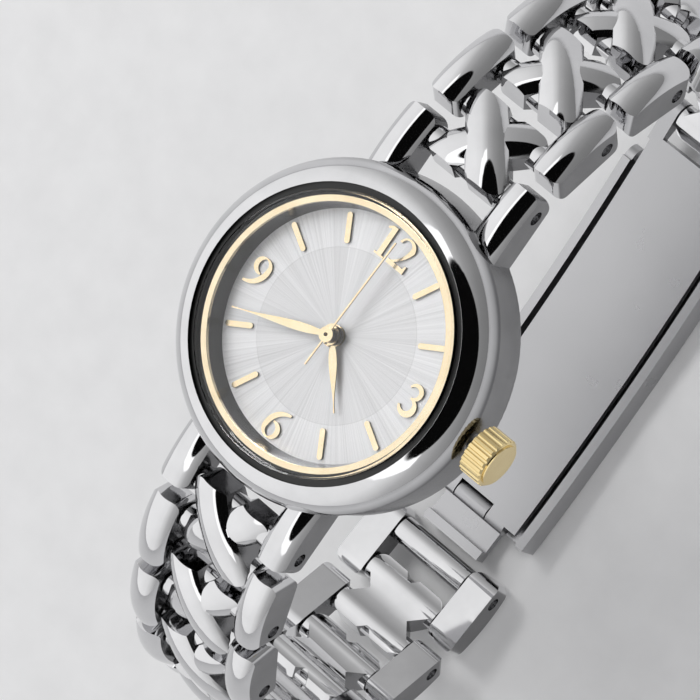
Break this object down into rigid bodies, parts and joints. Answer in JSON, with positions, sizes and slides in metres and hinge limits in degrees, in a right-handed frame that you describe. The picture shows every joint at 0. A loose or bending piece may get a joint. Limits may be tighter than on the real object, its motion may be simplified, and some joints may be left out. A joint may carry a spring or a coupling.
{
  "type": "bracelet wristwatch",
  "caption": "Small round wristwatch with a fluted crown on a bracelet of side bars and crossed centre links with a folding clasp, closed as when worn.",
  "frame": {"origin": "on the hands' axis, on the outer flat face of the case back", "axes": "+Z out of the dial, +Y towards 12 o'clock, +X towards 3 o'clock and the crown"},
  "size_m": [0.0278, 0.0668, 0.0441],
  "materials": {
    "case_steel": "mirror-polished stainless steel",
    "crystal_glass": "flat clear crystal with a polished edge",
    "gasket_rubber": "black rubber",
    "gold_plate": "pale polished gold plating on brass",
    "dial_silver": "silver with a fine sunray brushing",
    "ring_plastic": "white moulded plastic",
    "movement_brass": "plain brass",
    "coil_copper": "enamelled copper wire",
    "board_green": "green circuit board",
    "movement_steel": "plain steel",
    "clasp_steel": "polished stainless steel",
    "bracelet_steel": "mirror-polished stainless steel"
  },
  "bodies": {
    "case": {"case_middle": "case_steel", "bezel": "case_steel", "crystal": "crystal_glass", "crystal_gasket": "gasket_rubber", "dial_ring": "gold_plate", "dial": "dial_silver", "hour_markers": "gold_plate", "movement_ring": "ring_plastic", "main_plate": "movement_brass", "train_bridge": "movement_brass", "coin_cell": "movement_steel", "circuit_board": "board_green", "coil": "coil_copper", "stator": "movement_steel", "crown_tube": "movement_steel", "case_back": "case_steel", "case_back_gasket": "gasket_rubber"},
    "seconds": {"seconds_wheel": "movement_brass", "seconds_hand": "gold_plate"},
    "third": {"third_wheel": "movement_brass"},
    "centre": {"centre_wheel": "movement_brass"},
    "fifth": {"fifth_wheel": "movement_brass"},
    "rotor": {"rotor": "movement_steel"},
    "minute": {"minute_hand": "gold_plate"},
    "minute_wheel": {"minute_wheel": "movement_brass"},
    "hour": {"hour_wheel": "movement_brass", "hour_hand": "gold_plate"},
    "lever": {"setting_lever": "movement_steel"},
    "crown": {"stem": "movement_steel", "crown": "gold_plate"},
    "upper_link_1_centre": {"upper_link_1_centre": "bracelet_steel"},
    "upper_link_1_bars": {"upper_link_1_bars": "bracelet_steel"},
    "upper_link_2_centre": {"upper_link_2_centre": "bracelet_steel"},
    "upper_link_2_bars": {"upper_link_2_bars": "bracelet_steel"},
    "upper_link_3_centre": {"upper_link_3_centre": "bracelet_steel"},
    "upper_link_3_bars": {"upper_link_3_bars": "bracelet_steel"},
    "upper_link_4_centre": {"upper_link_4_centre": "bracelet_steel"},
    "upper_link_4_bars": {"upper_link_4_bars": "bracelet_steel"},
    "upper_link_5_centre": {"upper_link_5_centre": "bracelet_steel"},
    "upper_link_5_bars": {"upper_link_5_bars": "bracelet_steel"},
    "upper_link_6_centre": {"upper_link_6_centre": "bracelet_steel"},
    "upper_link_6_bars": {"upper_link_6_bars": "bracelet_steel"},
    "upper_link_7_centre": {"upper_link_7_centre": "bracelet_steel"},
    "inner_blade": {"clasp_inner_blade": "clasp_steel"},
    "middle_blade": {"clasp_middle_blade": "clasp_steel"},
    "cover": {"clasp_cover": "clasp_steel"},
    "lower_link_1_centre": {"lower_link_1_centre": "bracelet_steel"},
    "lower_link_1_bars": {"lower_link_1_bars": "bracelet_steel"},
    "lower_link_2_centre": {"lower_link_2_centre": "bracelet_steel"},
    "lower_link_2_bars": {"lower_link_2_bars": "bracelet_steel"},
    "lower_link_3_centre": {"lower_link_3_centre": "bracelet_steel"},
    "lower_link_3_bars": {"lower_link_3_bars": "bracelet_steel"},
    "lower_link_4_centre": {"lower_link_4_centre": "bracelet_steel"},
    "lower_link_4_bars": {"lower_link_4_bars": "bracelet_steel"},
    "lower_link_5_centre": {"lower_link_5_centre": "bracelet_steel"},
    "lower_link_5_bars": {"lower_link_5_bars": "bracelet_steel"},
    "lower_link_6_centre": {"lower_link_6_centre": "bracelet_steel"},
    "lower_link_6_bars": {"lower_link_6_bars": "bracelet_steel"},
    "lower_link_7_centre": {"lower_link_7_centre": "bracelet_steel"},
    "lower_link_7_bars": {"lower_link_7_bars": "bracelet_steel"}
  },
  "joints": [
    {"name": "seconds_turn", "type": "hinge", "parent": "case", "child": "seconds", "pos_m": [0, 0, 0.0029], "axis": [0, 0, -1], "continuous": true},
    {"name": "third_turn", "type": "hinge", "parent": "case", "child": "third", "pos_m": [-0.00225, 0.0013, 0.0029], "axis": [0, 0, -1], "continuous": true},
    {"name": "centre_turn", "type": "hinge", "parent": "case", "child": "centre", "pos_m": [0, 0, 0.0029], "axis": [0, 0, -1], "continuous": true},
    {"name": "fifth_turn", "type": "hinge", "parent": "case", "child": "fifth", "pos_m": [0.00135, 0.00234, 0.0029], "axis": [0, 0, -1], "continuous": true},
    {"name": "rotor_turn", "type": "hinge", "parent": "case", "child": "rotor", "pos_m": [0.00317, 0.00339, 0.0029], "axis": [0, 0, -1], "continuous": true},
    {"name": "minute_turn", "type": "hinge", "parent": "case", "child": "minute", "pos_m": [0, 0, 0.0029], "axis": [0, 0, -1], "continuous": true},
    {"name": "minute_wheel_turn", "type": "hinge", "parent": "case", "child": "minute_wheel", "pos_m": [-0.00197, -0.00138, 0.0029], "axis": [0, 0, -1], "continuous": true},
    {"name": "hour_turn", "type": "hinge", "parent": "case", "child": "hour", "pos_m": [0, 0, 0.0029], "axis": [0, 0, -1], "continuous": true},
    {"name": "crown_pull", "type": "slide", "parent": "case", "child": "lever", "axis": [1, 0, 0], "range_m": [0, 0.0008]},
    {"name": "crown_turn", "type": "hinge", "parent": "lever", "child": "crown", "pos_m": [0.0135, 0, 0.0033], "axis": [1, 0, 0], "continuous": true},
    {"name": "upper_hinge_1", "type": "hinge", "parent": "case", "child": "upper_link_1_centre", "pos_m": [0, 0.01497, 0.002], "axis": [1, 0, 0], "range_deg": [0, 25.7]},
    {"name": "upper_hinge_2", "type": "hinge", "parent": "upper_link_1_centre", "child": "upper_link_1_bars", "pos_m": [0, 0.01823, 0.00043], "axis": [1, 0, 0], "range_deg": [0, 6.3]},
    {"name": "upper_hinge_3", "type": "hinge", "parent": "upper_link_1_bars", "child": "upper_link_2_centre", "pos_m": [0, 0.02129, -0.00148], "axis": [1, 0, 0], "range_deg": [0, 7.1]},
    {"name": "upper_hinge_4", "type": "hinge", "parent": "upper_link_2_centre", "child": "upper_link_2_bars", "pos_m": [0, 0.0241, -0.00376], "axis": [1, 0, 0], "range_deg": [0, 7.9]},
    {"name": "upper_hinge_5", "type": "hinge", "parent": "upper_link_2_bars", "child": "upper_link_3_centre", "pos_m": [0, 0.02656, -0.00641], "axis": [1, 0, 0], "range_deg": [0, 8.7]},
    {"name": "upper_hinge_6", "type": "hinge", "parent": "upper_link_3_centre", "child": "upper_link_3_bars", "pos_m": [0, 0.0286, -0.00939], "axis": [1, 0, 0], "range_deg": [0, 9.5]},
    {"name": "upper_hinge_7", "type": "hinge", "parent": "upper_link_3_bars", "child": "upper_link_4_centre", "pos_m": [0, 0.03012, -0.01268], "axis": [1, 0, 0], "range_deg": [0, 10.3]},
    {"name": "upper_hinge_8", "type": "hinge", "parent": "upper_link_4_centre", "child": "upper_link_4_bars", "pos_m": [0, 0.03102, -0.01617], "axis": [1, 0, 0], "range_deg": [0, 11.1]},
    {"name": "upper_hinge_9", "type": "hinge", "parent": "upper_link_4_bars", "child": "upper_link_5_centre", "pos_m": [0, 0.03124, -0.01978], "axis": [1, 0, 0], "range_deg": [0, 11.9]},
    {"name": "upper_hinge_10", "type": "hinge", "parent": "upper_link_5_centre", "child": "upper_link_5_bars", "pos_m": [0, 0.0307, -0.02336], "axis": [1, 0, 0], "range_deg": [0, 12.7]},
    {"name": "upper_hinge_11", "type": "hinge", "parent": "upper_link_5_bars", "child": "upper_link_6_centre", "pos_m": [0, 0.0294, -0.02673], "axis": [1, 0, 0], "range_deg": [0, 13.5]},
    {"name": "upper_hinge_12", "type": "hinge", "parent": "upper_link_6_centre", "child": "upper_link_6_bars", "pos_m": [0, 0.02734, -0.0297], "axis": [1, 0, 0], "range_deg": [0, 14.3]},
    {"name": "upper_hinge_13", "type": "hinge", "parent": "upper_link_6_bars", "child": "upper_link_7_centre", "pos_m": [0, 0.02461, -0.03207], "axis": [1, 0, 0], "range_deg": [0, 15.1]},
    {"name": "clasp_end_hinge", "type": "hinge", "parent": "upper_link_7_centre", "child": "inner_blade", "pos_m": [0, 0.02136, -0.03365], "axis": [1, 0, 0], "range_deg": [0, 20]},
    {"name": "clasp_fold_hinge", "type": "hinge", "parent": "inner_blade", "child": "middle_blade", "pos_m": [0, -0.01245, -0.03455], "axis": [-1, 0, 0], "range_deg": [0, 120]},
    {"name": "clasp_cover_hinge", "type": "hinge", "parent": "middle_blade", "child": "cover", "pos_m": [0, 0.01638, -0.0345], "axis": [1, 0, 0], "range_deg": [0, 100]},
    {"name": "lower_hinge_1", "type": "hinge", "parent": "case", "child": "lower_link_1_centre", "pos_m": [0, -0.01497, 0.002], "axis": [-1, 0, 0], "range_deg": [0, 25.7]},
    {"name": "lower_hinge_2", "type": "hinge", "parent": "lower_link_1_centre", "child": "lower_link_1_bars", "pos_m": [0, -0.01823, 0.00043], "axis": [-1, 0, 0], "range_deg": [0, 6.3]},
    {"name": "lower_hinge_3", "type": "hinge", "parent": "lower_link_1_bars", "child": "lower_link_2_centre", "pos_m": [0, -0.02129, -0.00148], "axis": [-1, 0, 0], "range_deg": [0, 7.1]},
    {"name": "lower_hinge_4", "type": "hinge", "parent": "lower_link_2_centre", "child": "lower_link_2_bars", "pos_m": [0, -0.0241, -0.00376], "axis": [-1, 0, 0], "range_deg": [0, 7.9]},
    {"name": "lower_hinge_5", "type": "hinge", "parent": "lower_link_2_bars", "child": "lower_link_3_centre", "pos_m": [0, -0.02656, -0.00641], "axis": [-1, 0, 0], "range_deg": [0, 8.7]},
    {"name": "lower_hinge_6", "type": "hinge", "parent": "lower_link_3_centre", "child": "lower_link_3_bars", "pos_m": [0, -0.0286, -0.00939], "axis": [-1, 0, 0], "range_deg": [0, 9.5]},
    {"name": "lower_hinge_7", "type": "hinge", "parent": "lower_link_3_bars", "child": "lower_link_4_centre", "pos_m": [0, -0.03012, -0.01268], "axis": [-1, 0, 0], "range_deg": [0, 10.3]},
    {"name": "lower_hinge_8", "type": "hinge", "parent": "lower_link_4_centre", "child": "lower_link_4_bars", "pos_m": [0, -0.03102, -0.01617], "axis": [-1, 0, 0], "range_deg": [0, 11.1]},
    {"name": "lower_hinge_9", "type": "hinge", "parent": "lower_link_4_bars", "child": "lower_link_5_centre", "pos_m": [0, -0.03124, -0.01978], "axis": [-1, 0, 0], "range_deg": [0, 11.9]},
    {"name": "lower_hinge_10", "type": "hinge", "parent": "lower_link_5_centre", "child": "lower_link_5_bars", "pos_m": [0, -0.0307, -0.02336], "axis": [-1, 0, 0], "range_deg": [0, 12.7]},
    {"name": "lower_hinge_11", "type": "hinge", "parent": "lower_link_5_bars", "child": "lower_link_6_centre", "pos_m": [0, -0.0294, -0.02673], "axis": [-1, 0, 0], "range_deg": [0, 13.5]},
    {"name": "lower_hinge_12", "type": "hinge", "parent": "lower_link_6_centre", "child": "lower_link_6_bars", "pos_m": [0, -0.02734, -0.0297], "axis": [-1, 0, 0], "range_deg": [0, 14.3]},
    {"name": "lower_hinge_13", "type": "hinge", "parent": "lower_link_6_bars", "child": "lower_link_7_centre", "pos_m": [0, -0.02461, -0.03207], "axis": [-1, 0, 0], "range_deg": [0, 15.1]},
    {"name": "lower_hinge_14", "type": "hinge", "parent": "lower_link_7_centre", "child": "lower_link_7_bars", "pos_m": [0, -0.02136, -0.03365], "axis": [-1, 0, 0], "range_deg": [0, 15.9]}
  ],
  "couplings": [
    {"joint": "third_turn", "follows": "seconds_turn", "ratio": -0.13333},
    {"joint": "centre_turn", "follows": "seconds_turn", "ratio": 0.016667},
    {"joint": "fifth_turn", "follows": "seconds_turn", "ratio": -5},
    {"joint": "rotor_turn", "follows": "seconds_turn", "ratio": 30},
    {"joint": "minute_wheel_turn", "follows": "minute_turn", "ratio": -0.33333},
    {"joint": "hour_turn", "follows": "minute_turn", "ratio": 0.083333}
  ]
}
